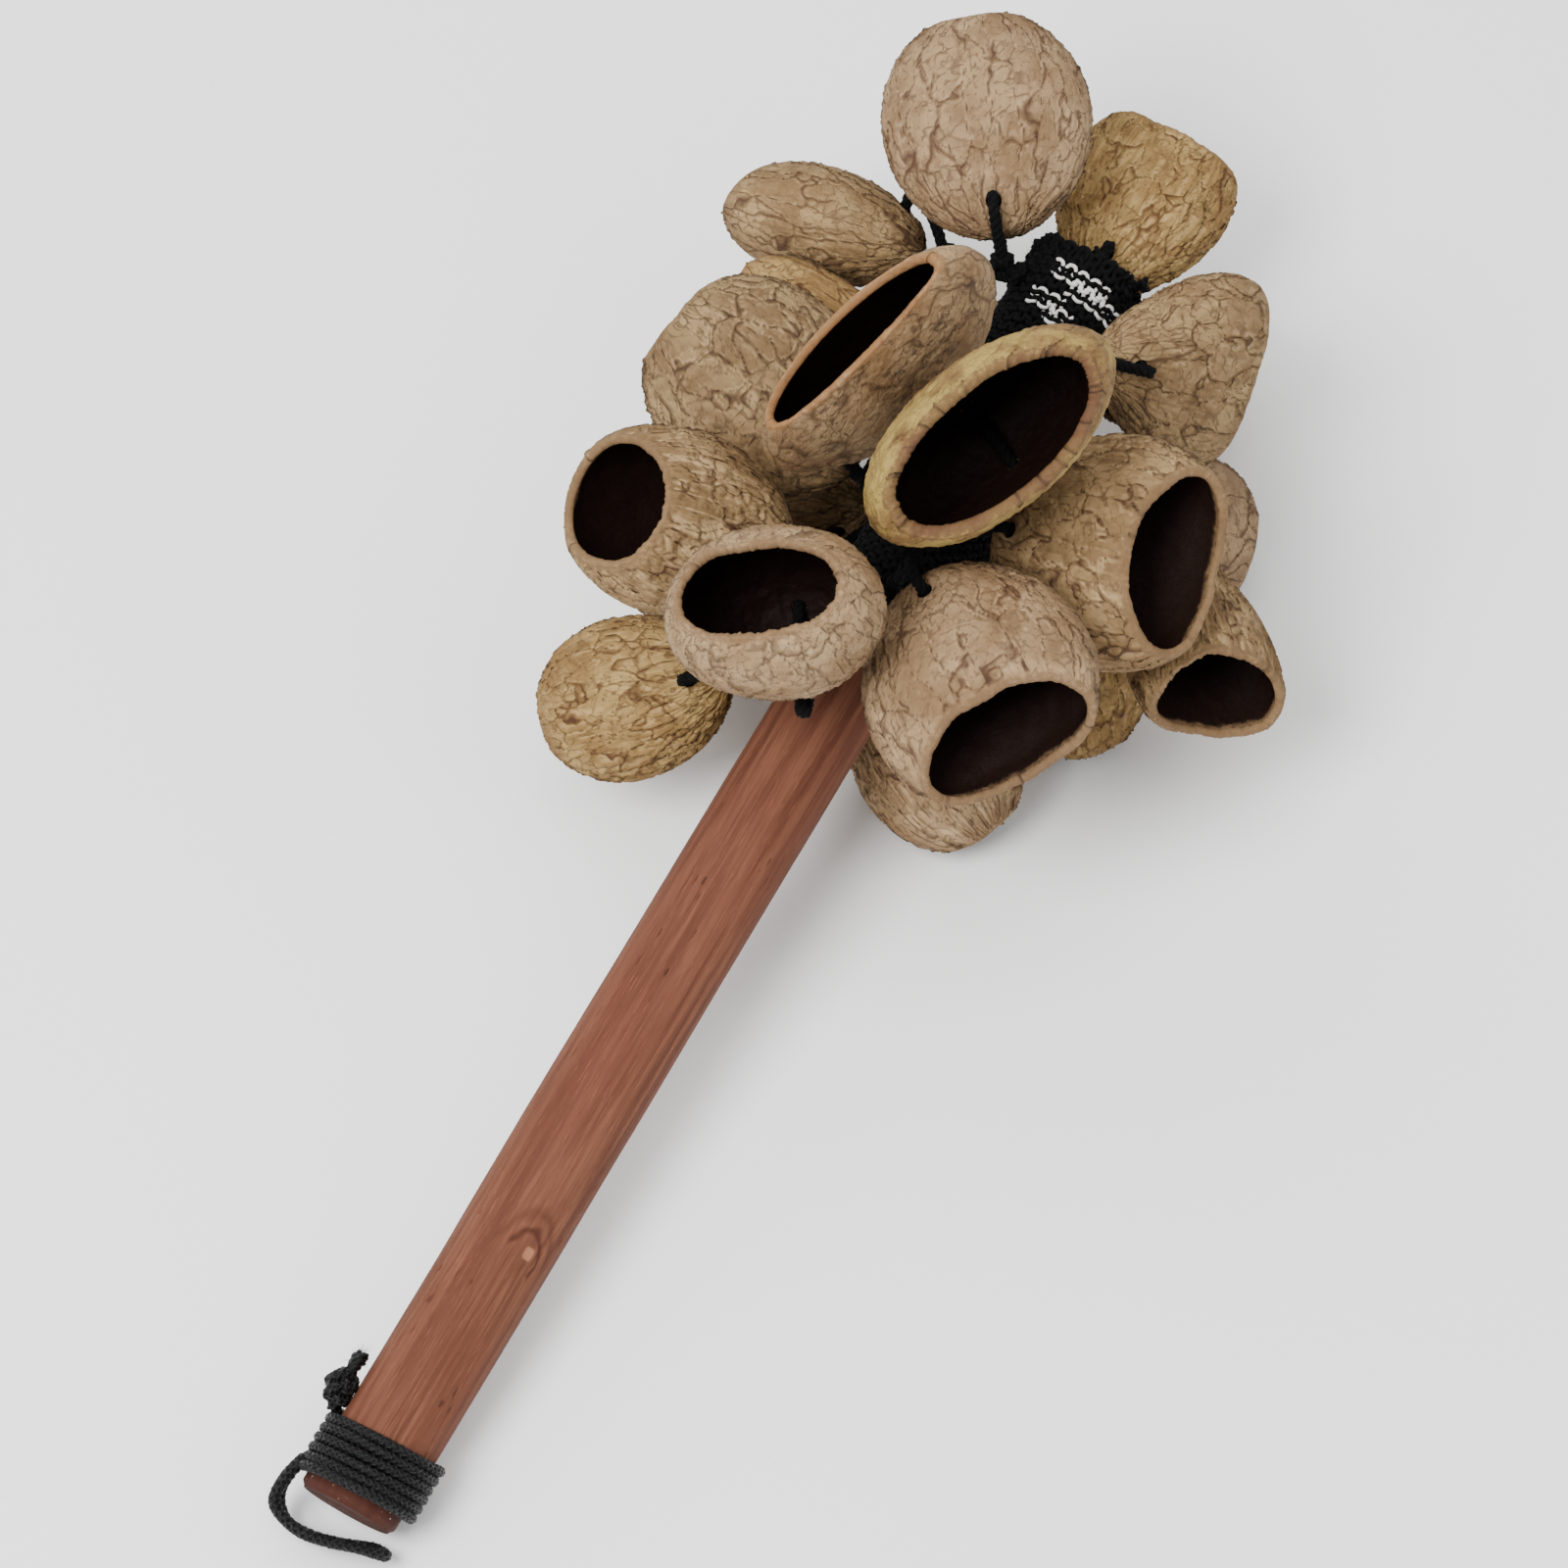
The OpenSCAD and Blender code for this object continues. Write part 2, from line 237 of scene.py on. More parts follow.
def ring_quads(rings, sides, base=0):
    """The faces [ring, side, 4] between rings of points that follow one another."""
    i, s = np.meshgrid(np.arange(rings - 1), np.arange(sides), indexing="ij")
    q = (s + 1) % sides
    here, onward = base + i * sides, base + (i + 1) * sides
    return np.stack([here + s, here + q, onward + q, onward + s], -1)


def distance_along(path):
    """How far along the path each of its points is."""
    steps = np.linalg.norm(np.diff(path, axis=0), axis=1)
    return np.concatenate([[0], np.cumsum(steps)])


def carried_frames(path):
    """Two side directions at every point, turned as little as possible."""
    t = np.gradient(path, axis=0)
    t /= np.linalg.norm(t, axis=1)[:, None] + 1e-12
    side = np.array([0.0, 0, 1]) if abs(t[0, 2]) < 0.9 else np.array([1.0, 0, 0])
    u = np.empty_like(path)
    for i, d in enumerate(t):
        side = side - (side @ d) * d
        side /= np.linalg.norm(side)
        u[i] = side
    return u, np.cross(t, u)


class Strands:
    """Collects tubes that together make one piece."""

    def __init__(self):
        self.points, self.faces, self.tone, self.place, self.count = [], [], [], [], 0

    def tube(self, path, radius, sides=6, tone=0.0):
        path = np.asarray(path, float)
        n, base = len(path), self.count
        radius = np.broadcast_to(np.asarray(radius, float), n)[:, None, None]
        u, v = carried_frames(path)
        a = np.arange(sides) * TURN / sides
        out = np.cos(a)[None, :, None] * u[:, None] + np.sin(a)[None, :, None] * v[:, None]
        self.points.append((path[:, None] + radius * out).reshape(-1, 3))
        self.faces += ring_quads(n, sides, base).reshape(-1, 4).tolist()
        self.faces.append([base + k for k in range(sides)][::-1])
        self.faces.append([base + (n - 1) * sides + k for k in range(sides)])
        tone = np.asarray(tone, float).reshape(-1, 1)
        self.tone.append(np.broadcast_to(tone, (n, sides)).ravel())
        length = np.repeat(distance_along(path), sides)
        number = np.full(n * sides, float(base))
        self.place.append(np.stack([np.tile(a, n), length, number], 1))
        self.count += n * sides

    def made(self, name, material):
        return mesh_object(
            name,
            np.concatenate(self.points),
            self.faces,
            material,
            {"tone": np.concatenate(self.tone)},
            {"place": np.concatenate(self.place)},
        )


def curve_through(route, step_length):
    """A smooth line through the route's points, in even steps."""
    p = np.asarray(route, float)
    q = np.concatenate([[p[0]], p, [p[-1]]])
    found = []
    for i in range(len(p) - 1):
        a, b, c, d = q[i], q[i + 1], q[i + 2], q[i + 3]
        for t in np.arange(0, 1, 1 / 16):
            found.append(
                0.5
                * (
                    2 * b
                    + (c - a) * t
                    + (2 * a - 5 * b + 4 * c - d) * t * t
                    + (3 * b - a - 3 * c + d) * t**3
                )
            )
    found.append(p[-1])
    return even(np.array(found), step_length)


def even(path, step_length):
    """The same line in even steps."""
    length = distance_along(path)
    at = np.linspace(0, length[-1], max(4, int(length[-1] / step_length) + 1))
    return np.stack([np.interp(at, length, path[:, k]) for k in range(3)], 1)


def lay_plies(strands, path, radius, turn, sides=6, flare=1.0):
    """A cord of three plies that wind round the path. flare spreads them at its end."""
    u, v = carried_frames(path)
    length = distance_along(path)
    out = (radius * 0.50 * flare * np.ones(len(path)))[:, None]
    for k in range(3):
        a = TURN * (length / turn + k / 3)
        centre = path + out * (np.cos(a)[:, None] * u + np.sin(a)[:, None] * v)
        strands.tube(centre, radius * 0.54, sides)


def lay_braid(strands, path, radius):
    """A round braid of eight strands over a core, four each way."""
    u, v = carried_frames(path)
    length = distance_along(path)
    strands.tube(path, radius * 0.62, 8)
    for way in (1, -1):
        for k in range(4):
            a = way * TURN * length / BRAID_LAY + TURN * k / 4
            out = radius * (0.62 + way * 0.10 * np.cos(TURN * 4 * length / BRAID_LAY))
            centre = path + out[:, None] * (np.cos(a)[:, None] * u + np.sin(a)[:, None] * v)
            strands.tube(centre, radius * 0.28, 5, 0.3 * (k % 2))


def lay_hairs(strands, rng, points, away, count, length, radius=0.05):
    """Loose fibres that stand off a cord."""
    t = np.linspace(0, 1, 5)[:, None]
    for k in rng.integers(0, len(points), count):
        d = away[k] + rng.normal(0, 0.8, 3)
        d /= np.linalg.norm(d)
        bend = rng.normal(0, 0.5, 3)
        size = length * rng.uniform(0.4, 1.2)
        strands.tube(points[k] + size * (t * d + t * t * bend), radius * np.linspace(1, 0.25, 5), 3)


def knot_line(centre, axis, size, stretch, turned=0.0):
    """The closed line of an overhand knot round an axis."""
    axis = axis / np.linalg.norm(axis)
    side = np.cross(axis, [0.3, 0.2, 0.9])
    side /= np.linalg.norm(side)
    other = np.cross(axis, side)
    t = np.linspace(0, TURN, 56)
    x = np.sin(t + turned) + 2 * np.sin(2 * t)
    y = np.cos(t + turned) - 2 * np.cos(2 * t)
    z = -stretch * np.sin(3 * t)
    return centre + size / 3 * (x[:, None] * side + y[:, None] * other + z[:, None] * axis)


# ---- materials ----


def linear(red, green, blue):
    """A colour from 0 to 255 as light."""
    return tuple(
        c / 255 / 12.92 if c / 255 <= 0.04045 else ((c / 255 + 0.055) / 1.055) ** 2.4
        for c in (red, green, blue)
    ) + (1.0,)


class Paint:
    """A node material, built socket by socket."""

    def __init__(self, name):
        self.material = bpy.data.materials.new(name)
        self.material.use_nodes = True
        self.tree = self.material.node_tree
        self.skin = self.tree.nodes["Principled BSDF"]

    def add(self, kind, inputs, output=0, **settings):
        node = self.tree.nodes.new("ShaderNode" + kind)
        for key, value in settings.items():
            setattr(node, key, value)
        for key, value in inputs.items():
            self.give(node.inputs[key], value)
        return node.outputs[output]

    def give(self, socket, value):
        if isinstance(value, bpy.types.NodeSocket):
            self.tree.links.new(value, socket)
        else:
            socket.default_value = value

    def attribute(self, name, output="Fac"):
        return self.add("Attribute", {}, output, attribute_name=name)

    def math(self, operation, a, b=0.0, clamp=False):
        return self.add("Math", {0: a, 1: b}, operation=operation, use_clamp=clamp)

    def span(self, value, low, high, to_low=0.0, to_high=1.0):
        return self.add(
            "MapRange",
            {0: value, 1: low, 2: high, 3: to_low, 4: to_high},
            interpolation_type="SMOOTHSTEP",
        )

    def falling(self, value, end):
        """1 where the value is 0, and 0 from end on."""
        share = self.add("MapRange", {0: value, 1: 0.0, 2: end, 3: 0.0, 4: 1.0})
        return self.math("SUBTRACT", 1.0, share)

    def mix(self, share, a, b, blend="MIX"):
        return self.add("Mix", {0: share, 6: a, 7: b}, 2, data_type="RGBA", blend_type=blend)

    def clouds(self, vector, scale, detail=3.0, roughness=0.55, distortion=0.0):
        return self.add(
            "TexNoise",
            {
                "Vector": vector,
                "Scale": scale,
                "Detail": detail,
                "Roughness": roughness,
                "Distortion": distortion,
            },
        )

    def stretched(self, vector, scale):
        return self.add("Mapping", {"Vector": vector, "Scale": scale})

    def finish(self, colour, roughness, height=None, strength=0.5, distance=0.3, **more):
        self.give(self.skin.inputs["Base Color"], colour)
        self.give(self.skin.inputs["Roughness"], roughness)
        for key, value in more.items():
            self.give(self.skin.inputs[key.replace("_", " ")], value)
        if height is not None:
            bump = self.add(
                "Bump", {"Strength": strength, "Distance": distance * MM, "Height": height}
            )
            self.give(self.skin.inputs["Normal"], bump)
        return self.material


# Shell colours: ground, lighter patches, lines, and how strongly lines and spots show
SHELL_PAINT = {
    "shell_tan": ((136, 108, 72), (166, 137, 96), (58, 34, 20), 0.88, 0.45),
    "shell_gold": ((142, 110, 64), (172, 141, 88), (68, 37, 19), 0.90, 0.40),
    "shell_pink": ((138, 109, 77), (166, 137, 102), (58, 34, 23), 0.88, 0.55),
    "shell_brown": ((122, 96, 64), (150, 123, 86), (48, 30, 19), 0.90, 0.50),
    "shell_pale": ((148, 117, 82), (174, 145, 108), (60, 40, 26), 0.82, 0.50),
}
# near-black inside colour: painted shade of the shells' hollows laid over the inside's own brown
INSIDE_PAINTED_SHADE = (19, 11, 9)
LIP_TONE = (108, 82, 56)
LIP_TONES = {"fibre": (84, 54, 40), "mottled": (132, 90, 52)}


def shell_paint(name, slot, skin):
    ground, light, line, line_share, spot_share = SHELL_PAINT[slot]
    p = Paint(name)
    place = p.attribute("place", "Vector")
    vein, net, high, edge, crack = (
        p.attribute(k) for k in ("vein", "net", "high", "edge", "crack")
    )
    broad = p.clouds(place, 0.09, 3)
    fine = p.clouds(place, 0.9, 6, 0.65)
    grain = p.clouds(place, 3.2, 4, 0.7)
    colour = p.mix(p.span(broad, 0.38, 0.62), linear(*ground), linear(*light))
    # weathered, greyer or browner patches
    patches = p.span(p.clouds(place, 0.16, 4, 0.6), 0.52, 0.72)
    weathered = linear(*(0.80 * c for c in ground))
    colour = p.mix(p.math("MULTIPLY", patches, 0.40), colour, weathered)
    dulled = p.mix(1.0, colour, linear(226, 226, 226), "MULTIPLY")
    colour = p.mix(p.math("MULTIPLY", p.span(fine, 0.30, 0.70), 0.55), dulled, colour)
    # painted shade darkens the grooves and a painted highlight lightens the ridges
    painted_groove_shade = p.mix(1.0, colour, linear(128, 94, 70), "MULTIPLY")
    colour = p.mix(p.span(high, -0.62, -0.14, 0.90, 0.0), colour, painted_groove_shade)
    painted_ridge_highlight = linear(*(min(255, c + 24) for c in light))
    colour = p.mix(p.span(high, 0.05, 0.55, 0.0, 0.60), colour, painted_ridge_highlight)
    # dark lines along the veins and the net
    width = p.span(fine, 0.3, 0.7, 0.035, 0.11)
    main = p.falling(vein, width)
    side = p.math("MULTIPLY", p.falling(net, 0.11), p.span(broad, 0.35, 0.65, 0.35, 0.85))
    lines = p.math("MULTIPLY", p.math("MAXIMUM", main, side), line_share)
    lines = p.math("MULTIPLY", lines, p.span(edge, 0.2, 1.5))
    colour = p.mix(lines, colour, linear(*line))
    # short dark fibres and specks
    specks = p.span(p.clouds(p.stretched(place, (1.6, 1.6, 0.5)), 1.6, 5, 0.75), 0.60, 0.68)
    colour = p.mix(p.math("MULTIPLY", specks, spot_share), colour, linear(*line))
    if skin == "mottled":
        blots = p.span(p.clouds(place, 0.42, 6, 0.75, 0.6), 0.50, 0.62)
        zone = p.span(p.clouds(place, 0.07, 2), 0.42, 0.60)
        share = p.math("MULTIPLY", p.math("MULTIPLY", blots, zone), 0.80)
        colour = p.mix(share, colour, linear(78, 64, 54))
    if skin == "fibre":
        drawn_out = p.stretched(place, (1.0, 1.0, 0.35))
        dashes = p.span(p.clouds(drawn_out, 1.0, 5, 0.85, 0.6), 0.53, 0.58)
        colour = p.mix(p.math("MULTIPLY", dashes, 0.55), colour, linear(92, 66, 30))
        share = p.math("MULTIPLY", p.span(broad, 0.40, 0.58), 0.50)
        colour = p.mix(share, colour, linear(168, 146, 72))
    # the smooth band by the mouth, the cut edge, and the inside painted near-black as shade in the
    # hollow
    band = p.span(p.math("ADD", edge, p.span(fine, 0.2, 0.8, -1.0, 1.0)), 1.5, -0.3, 0.0, 0.75)
    colour = p.mix(band, colour, linear(*LIP_TONES.get(skin, LIP_TONE)))
    frayed = p.math("ADD", edge, p.span(fine, 0.2, 0.8, -0.7, 0.7))
    # both inside colours are near-black: painted shade of the hollow
    inside = p.mix(p.span(grain, 0.35, 0.75), linear(*INSIDE_PAINTED_SHADE), linear(36, 21, 15))
    depth = -1.0 if skin == "fibre" else 0.0
    colour = p.mix(p.span(frayed, depth - 0.4, depth - 2.6), colour, inside)
    # the mouth cracks are painted near-black: painted shade in the splits
    colour = p.mix(crack, colour, linear(30, 17, 12))
    height = p.math("ADD", p.math("MULTIPLY", fine, 0.6), p.math("MULTIPLY", grain, 0.35))
    height = p.math("SUBTRACT", height, p.math("MULTIPLY", lines, 0.6))
    roughness = p.span(frayed, -0.5, -3.0, 0.78, 0.50)
    shine = p.span(frayed, -0.5, -3.0, 0.25, 0.10)
    return p.finish(colour, roughness, height, 0.8, 0.5, Specular_IOR_Level=shine)


def wood_paint():
    p = Paint("stick_wood")
    place = p.attribute("place", "Vector")
    high = p.attribute("high")
    low_end = p.attribute("low_end")
    knot = p.attribute("knot")
    streak = p.clouds(p.stretched(place, (1.0, 1.0, 0.035)), 0.55, 6, 0.62, 0.25)
    thread = p.clouds(p.stretched(place, (1.0, 1.0, 0.05)), 3.0, 4, 0.7)
    cloud = p.clouds(p.stretched(place, (1.0, 1.0, 0.35)), 0.07, 3)
    colour = p.mix(p.span(streak, 0.34, 0.66), linear(86, 49, 35), linear(118, 75, 56))
    colour = p.mix(p.span(cloud, 0.38, 0.64, 0.0, 0.5), colour, linear(92, 52, 38))
    colour = p.mix(p.span(thread, 0.56, 0.72, 0.0, 0.55), colour, linear(144, 92, 68))
    colour = p.mix(p.span(thread, 0.42, 0.28, 0.0, 0.6), colour, linear(60, 28, 19))
    pits = p.clouds(p.stretched(place, (1.0, 1.0, 0.16)), 1.1, 3, 0.6)
    dark = p.math("MULTIPLY", p.span(pits, 0.74, 0.80), 0.8)
    colour = p.mix(dark, colour, linear(50, 26, 20))
    # painted shade: darker where the surface lies low, in the gouges
    colour = p.mix(p.span(high, -0.12, -0.30, 0.0, 0.8), colour, linear(52, 26, 19))
    colour = p.mix(p.math("MULTIPLY", low_end, 0.80), colour, linear(48, 20, 16))
    colour = p.mix(p.math("MULTIPLY", knot, 0.85, True), colour, linear(58, 28, 20))
    colour = p.mix(p.span(knot, -0.05, -0.6), colour, linear(150, 100, 74))
    specks = p.math(
        "MULTIPLY", p.span(p.clouds(place, 1.2, 2, 0.6), 0.71, 0.74), p.span(low_end, 0.5, 0.8)
    )
    colour = p.mix(specks, colour, linear(208, 198, 188))
    height = p.math("ADD", p.math("MULTIPLY", thread, 0.5), streak)
    height = p.math("SUBTRACT", height, dark)
    return p.finish(
        colour, p.span(streak, 0.3, 0.7, 0.72, 0.86), height, 0.7, 0.3, Specular_IOR_Level=0.16
    )


def cord_paint(name, dark, light, roughness, glints, shine):
    p = Paint(name)
    place = p.attribute("place", "Vector")
    tone = p.attribute("tone")
    around = p.stretched(place, (2.0, 1.0, 1.0))
    fibres = p.clouds(around, 4.0, 4, 0.7)
    glint_and_gloss_patches = p.clouds(place, 0.8, 4, 0.7)
    colour = p.mix(p.span(fibres, 0.35, 0.70), linear(*dark), linear(*light))
    # painted glints: light grey patches stand in for light catching the cord; the same patches are
    # also glossier
    colour = p.mix(p.span(glint_and_gloss_patches, 0.62, 0.78, 0.0, glints), colour, linear(96, 95, 94))
    white = p.mix(fibres, linear(214, 212, 208), linear(238, 237, 234))
    colour = p.mix(p.span(tone, 0.8, 1.0), colour, white)
    return p.finish(
        colour,
        p.span(glint_and_gloss_patches, 0.4, 0.7, roughness, roughness - 0.22),
        fibres,
        0.8,
        0.15,
        Specular_IOR_Level=shine,
    )


def plain_paint(name, colour):
    return Paint(name).finish(linear(*colour), 0.9)


# ---- camera, floor and light ----

VIEW_TARGET, VIEW_DISTANCE = (-0.011, -0.006, 0.0585), 1.4
LIGHT_TARGET = (0, 0, 0.05)
FLOOR_HALF = 4.0


def aimed(thing, target):
    thing.rotation_mode = "QUATERNION"
    thing.rotation_quaternion = (Vector(target) - thing.location).to_track_quat("-Z", "Y")


def direction(azimuth, elevation):
    a, e = math.radians(azimuth), math.radians(elevation)
    return Vector((math.sin(a) * math.cos(e), -math.cos(a) * math.cos(e), math.sin(e)))


def make_camera():
    data = bpy.data.cameras.new("camera")
    data.lens, data.sensor_width = 170, 36
    camera = bpy.data.objects.new("camera", data)
    bpy.context.scene.collection.objects.link(camera)
    camera.location = Vector(VIEW_TARGET) + direction(-60, 60) * VIEW_DISTANCE
    aimed(camera, VIEW_TARGET)
    bpy.context.scene.camera = camera


def make_light(name, azimuth, elevation, distance, size, power):
    data = bpy.data.lights.new(name, "AREA")
    data.shape, data.size, data.energy = "DISK", size, power
    light = bpy.data.objects.new(name, data)
    bpy.context.scene.collection.objects.link(light)
    light.location = Vector(LIGHT_TARGET) + direction(azimuth, elevation) * distance
    aimed(light, LIGHT_TARGET)


def make_stage():
    data = bpy.data.meshes.new("floor")
    r = FLOOR_HALF
    data.from_pydata([(-r, -r, 0), (r, -r, 0), (r, r, 0), (-r, r, 0)], [], [(0, 1, 2, 3)])
    floor = bpy.data.objects.new("floor", data)
    bpy.context.scene.collection.objects.link(floor)
    data.materials.append(plain_paint("floor_white", (252, 252, 252)))
    make_light("key", -105, 58, 1.3, 0.6, 21)
    make_light("fill", 20, 50, 1.5, 1.0, 4)
    make_light("top", -30, 88, 1.4, 1.0, 9)
    make_light("back", 150, 40, 1.5, 1.0, 7)
    world = bpy.data.worlds.new("studio")
    bpy.context.scene.world = world
    world.use_nodes = True
    shade = world.node_tree.nodes["Background"]
    shade.inputs["Color"].default_value = (1.0, 1.0, 1.0, 1.0)
    shade.inputs["Strength"].default_value = 0.70


# ---- the hanging loop ----


def make_loop(paint):
    u, n, s = np.array(LOOP_ROUTE, float).T
    path = curve_through(on_stick(u, n, s), 0.45)
    made = Strands()
    lay_braid(made, path, WAX_RADIUS)
    loop = made.made("hanging_loop_cord", paint)
    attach(loop, "root")
    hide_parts("hanging_loop")


# ---- lashing and its knot ----


def make_lashing(paint):
    made = Strands()
    a = np.arange(0, 360 * LASHING_TURNS, 2.0)
    wobble = noise(np.stack([a / 55, a * 0, a * 0], 1), 5)
    out = STICK_RADIUS + LASHING_CORD + 0.12 * wobble
    turn = a / 360 - LASHING_TURNS / 2
    middle = LASHING_START + LASHING_PITCH * (LASHING_TURNS - 1) / 2
    upper = out * np.cos(np.radians(a + KNOT_AROUND))
    along = middle + LASHING_PITCH * 0.97 * turn - math.tan(math.radians(LASHING_TILT)) * upper
    near = out * np.sin(np.radians(a + KNOT_AROUND))
    path = even(on_stick(upper, near, along + 0.15 * wobble), 0.45)
    lay_braid(made, path, LASHING_CORD)
    lashing = made.made("lashing_cord", paint)
    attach(lashing, "root")
    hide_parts("handle_lashing")


def make_lashing_knot(paint, rng):
    made = Strands()
    low, high = polar(KNOT_AROUND, 11.8, 15.5), polar(KNOT_AROUND, 12.8, 21.0)
    lay_braid(made, curve_through([low, polar(KNOT_AROUND + 2, 12.9, 18.0), high], 0.4), 1.3)
    lay_braid(made, even(knot_line(polar(KNOT_AROUND, 12.7, 18.4), ALONG, 2.1, 1.6), 0.4), 1.3)
    lay_braid(made, even(knot_line(high, ALONG, 2.3, 1.8, 1.0), 0.4), 1.35)
    # the frayed end
    tip = polar(KNOT_AROUND - 4, 12.6, 27.0)
    tail = curve_through([high, polar(KNOT_AROUND, 12.8, 23.8), tip], 0.4)
    flare = 1 + 1.2 * step(0.45, 1.0, np.linspace(0, 1, len(tail)))
    for _ in range(5):
        lay_plies(made, tail + rng.normal(0, 0.45, 3), 0.85, 4.0, 5, flare)
    away = np.repeat(ALONG[None], len(tail), 0)
    lay_hairs(made, rng, tail[-6:], away[-6:], 90, 2.0, 0.06)
    knot = made.made("lashing_knot_cord", paint)
    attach(knot, "root")
    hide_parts("lashing_knot")


# ---- the stick ----

# The knot in the wood: degrees round, millimetres along
SCAR_AROUND, SCAR_ALONG = 38, 56
SLANT = 10.0
END_RINGS = (0.82, 0.62, 0.42, 0.22, 0.08)


def wood_scar(around, along):
    """An arched scar and the chip beside it, each from 0 to 1."""
    arc = (np.degrees(around) + 180) % 360 - 180
    d1 = (arc - SCAR_AROUND) * TURN / 36
    d2 = along - SCAR_ALONG
    ring = np.sqrt((d1 / 1.3) ** 2 + (d2 / 2.2) ** 2)
    r = STICK_RADIUS
    at = np.stack([np.cos(around) * r, np.sin(around) * r, along], 1)
    uneven = 0.35 * noise(at / 2.2, 27)
    arch = np.exp(-(((ring - 2.9 + uneven) / 0.32) ** 2)) * step(-1.0, 1.4, d2 + 0.5 * d1)
    outer_arch = np.exp(-(((ring - 4.6 + uneven) / 0.5) ** 2)) * step(0.0, 3.0, d2)
    heart = np.exp(-((ring / 2.2) ** 2))
    scar = np.maximum(np.maximum(arch, 0.5 * outer_arch), 0.35 * heart)
    chip = np.exp(-(((d1 - 1.0) / 1.1) ** 4) - ((d2 - 2.2) / 1.3) ** 4)
    return scar, chip


def make_stick(paint):
    sides, rings = 200, 760
    along = np.linspace(0, STICK_LENGTH, rings)
    s, around = np.meshgrid(along, np.arange(sides) * TURN / sides, indexing="ij")
    u, n = np.cos(around), np.sin(around)
    at = np.stack([u.ravel() * STICK_RADIUS, n.ravel() * STICK_RADIUS, s.ravel()], 1)
    lumps = noise(at / [9, 9, 45], 3) * 0.16
    grain = rough(at / [0.9, 0.9, 16], 9, 3) * 0.05
    gouged = step(0.1, 0.4, noise(at / [7, 7, 22], 22))
    gouges = -0.24 * step(0.62, 0.78, noise(at / [0.8, 0.8, 3.2], 21)) * gouged
    scar, chip = wood_scar(around.ravel(), s.ravel())
    high = lumps + grain + gouges - 0.35 * scar - 0.35 * chip
    radius = STICK_RADIUS - 0.22 + high.reshape(rings, sides)
    # rounded ends, the lower one cut on a slant
    edge = np.minimum(along, STICK_LENGTH - along)
    radius *= 1 - 0.09 * (1 - step(0, 1.3, edge))[:, None]
    slope = math.tan(math.radians(SLANT))
    slanted = s + (1 - step(0, 14, s)) * (0.6 - slope * radius * u * 0.5)
    body = on_stick(radius * u, radius * n, slanted).reshape(-1, 3)
    points, places = [body], [at]
    fields = {
        "high": [lumps * 0.3 + grain + gouges],
        "low_end": [1 - step(4, 15, at[:, 2])],
        "knot": [0.85 * scar * (1 - chip) - chip],
    }
    faces = ring_quads(rings, sides).reshape(-1, 4).tolist()
    # end grain: rings that shrink to the middle of each end
    count = len(body)
    for first, way in ((0, 1), ((rings - 1) * sides, -1)):
        before = list(range(first, first + sides))
        centre = body[before].mean(0)
        rim = before
        for share in END_RINGS:
            local = at[rim] * [share, share, 1]
            bumpy = 0.12 * noise(local / 1.5, 31)
            points.append(centre + (body[rim] - centre) * share + bumpy[:, None] * ALONG)
            places.append(local)
            fields["high"].append(bumpy)
            fields["low_end"].append(np.full(sides, 1.0 if first == 0 else 0.3))
            fields["knot"].append(np.zeros(sides))
            now = list(range(count, count + sides))
            count += sides
            for j in range(sides):
                q = (j + 1) % sides
                faces.append([before[j], before[q], now[q], now[j]][::-way])
            before = now
        faces.append(before[::-way])
    stick = mesh_object(
        "stick_wood",
        np.concatenate(points),
        faces,
        paint,
        {key: np.concatenate(v) for key, v in fields.items()},
        {"place": np.concatenate(places)},
    )
    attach(stick, "root")
    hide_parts("handle_stick")


# ---- the knitted sleeve ----

COLUMNS = 26
ROW_PITCH = 2.3
YARN = 0.55
LINING_SIDES, LINING_RINGS = 96, 40
TUFTS, HAIRS = 46, 1500
# White rows, counted from the top, and the share of the way round where they are white
WHITE_ROWS = {2: (0.20, 0.38), 3: (0.26, 0.46), 5: (0.18, 0.28), 6: (0.24, 0.32), 9: (0.6, 0.75)}


def knit_row(out, along, columns, phase, lumps):
    """One row of loops round the stick."""
    t = np.linspace(0, TURN * columns, columns * 16 + 1)
    loop = TURN / columns
    angle = loop * (t / TURN + 0.20 * np.sin(2 * t)) + phase
    rise = 0.78 * ROW_PITCH * np.cos(t)
    depth = 0.30 * np.cos(2 * t)
    at = np.stack([np.cos(angle) * 3, np.sin(angle) * 3, np.full(len(t), along / 5)], 1)
    swell = lumps * noise(at, 77)
    return angle, out + depth + swell, along + rise + 0.5 * swell, t


def lay_rows(made):
    rows = int((SLEEVE_END - SLEEVE_START - 3) / ROW_PITCH)
    for row in range(rows):
        phase = 0.04 * noise(np.array([[row / 3, 0, 0.0]]), 4)[0]
        along = SLEEVE_END - 3 - ROW_PITCH * row
        angle, out, along, t = knit_row(SLEEVE_RADIUS - 0.95, along, COLUMNS, phase, 0.45)
        tone = np.zeros(len(t))
        if row in WHITE_ROWS:
            low, high = WHITE_ROWS[row]
            share = (np.degrees(angle) / 360 + 0.25) % 1
            tone = ((share > low) & (share < high)).astype(float)
        path = on_stick(out * np.cos(angle), out * np.sin(angle), along)
        made.tube(path, YARN - 0.15 * tone, 6, tone)


def lay_top(made):
    """The closed top, gathered towards the middle."""
    for k, out in enumerate((9.6, 7.6, 5.6, 3.6, 1.8)):
        columns = max(5, int(COLUMNS * out / 12))
        angle, radius, along, t = knit_row(out, SLEEVE_END - 1.1, columns, 0.2 * k, 0.3)
        radius = radius + 0.7 * (along - (SLEEVE_END - 1.1))
        level = SLEEVE_END - 1.3 + 0.35 * np.cos(2 * t)
        made.tube(on_stick(radius * np.cos(angle), radius * np.sin(angle), level), YARN, 6)


